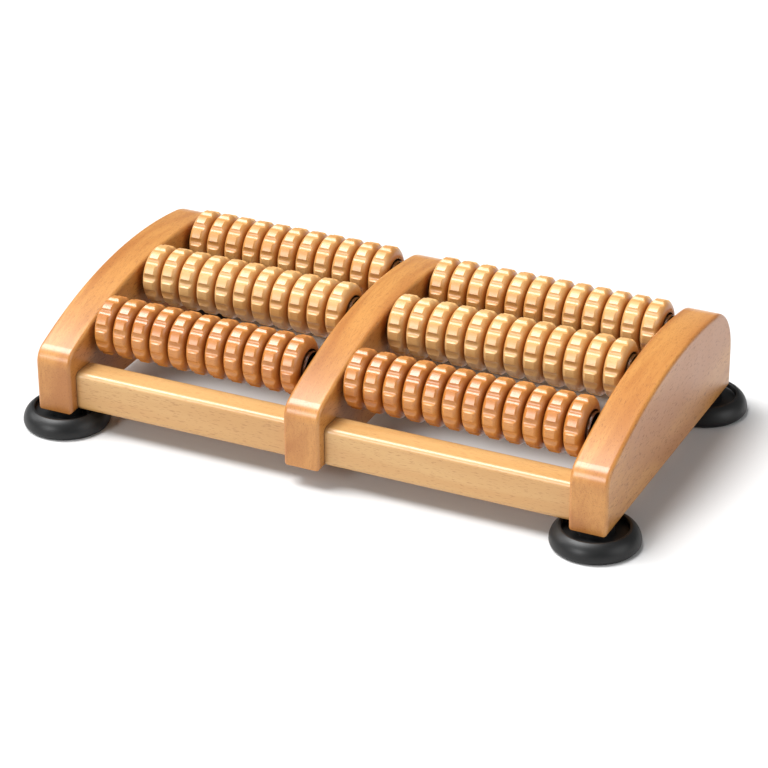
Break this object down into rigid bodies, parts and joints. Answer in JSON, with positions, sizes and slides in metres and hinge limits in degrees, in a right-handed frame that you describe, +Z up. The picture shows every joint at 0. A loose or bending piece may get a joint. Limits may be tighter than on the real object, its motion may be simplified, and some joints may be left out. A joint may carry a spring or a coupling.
{
  "type": "foot massage roller",
  "caption": "Wooden foot massager: arched boards joined by rails carry rows of free-turning scalloped rollers, on round rubber feet.",
  "frame": {"origin": "on the floor, under the centre of the object's footprint", "axes": "+X along the rollers to the right, +Y from the low front to the rounded back, +Z up"},
  "size_m": [0.3054, 0.1766, 0.0643],
  "materials": {
    "board_wood": "satin lacquered beech, orange brown",
    "rail_wood": "satin lacquered beech, pale yellow",
    "dowel_wood": "raw beech",
    "front_roller_wood": "glossy lacquered beech, reddish",
    "middle_roller_wood": "satin lacquered beech, pale",
    "rear_roller_wood": "satin lacquered beech, honey",
    "axle_steel": "drawn bright steel",
    "foot_rubber": "satin black moulded rubber",
    "zinc_steel": "zinc plated"
  },
  "bodies": {
    "frame": {"left_side_board": "board_wood", "middle_board": "board_wood", "right_side_board": "board_wood", "front_left_rail": "rail_wood", "front_right_rail": "rail_wood", "rear_left_rail": "rail_wood", "rear_right_rail": "rail_wood", "left_rail_dowels": "dowel_wood", "middle_rail_dowels": "dowel_wood", "right_rail_dowels": "dowel_wood", "front_axle": "axle_steel", "middle_axle": "axle_steel", "rear_axle": "axle_steel", "front_left_foot": "foot_rubber", "front_right_foot": "foot_rubber", "rear_left_foot": "foot_rubber", "rear_right_foot": "foot_rubber", "foot_screws": "zinc_steel", "foot_washers": "zinc_steel"},
    "front_left_roller": {"front_left_roller": "front_roller_wood"},
    "front_right_roller": {"front_right_roller": "front_roller_wood"},
    "middle_left_roller": {"middle_left_roller": "middle_roller_wood"},
    "middle_right_roller": {"middle_right_roller": "middle_roller_wood"},
    "rear_left_roller": {"rear_left_roller": "rear_roller_wood"},
    "rear_right_roller": {"rear_right_roller": "rear_roller_wood"}
  },
  "joints": [
    {"name": "front_left_spin", "type": "hinge", "parent": "frame", "child": "front_left_roller", "pos_m": [-0.0686, -0.047, 0.04376], "axis": [1, 0, 0], "continuous": true},
    {"name": "front_right_spin", "type": "hinge", "parent": "frame", "child": "front_right_roller", "pos_m": [0.0638, -0.047, 0.04376], "axis": [1, 0, 0], "continuous": true},
    {"name": "middle_left_spin", "type": "hinge", "parent": "frame", "child": "middle_left_roller", "pos_m": [-0.0686, -0.0015, 0.05045], "axis": [1, 0, 0], "continuous": true},
    {"name": "middle_right_spin", "type": "hinge", "parent": "frame", "child": "middle_right_roller", "pos_m": [0.0638, -0.0015, 0.05045], "axis": [1, 0, 0], "continuous": true},
    {"name": "rear_left_spin", "type": "hinge", "parent": "frame", "child": "rear_left_roller", "pos_m": [-0.0686, 0.044, 0.04964], "axis": [1, 0, 0], "continuous": true},
    {"name": "rear_right_spin", "type": "hinge", "parent": "frame", "child": "rear_right_roller", "pos_m": [0.0638, 0.044, 0.04964], "axis": [1, 0, 0], "continuous": true}
  ]
}
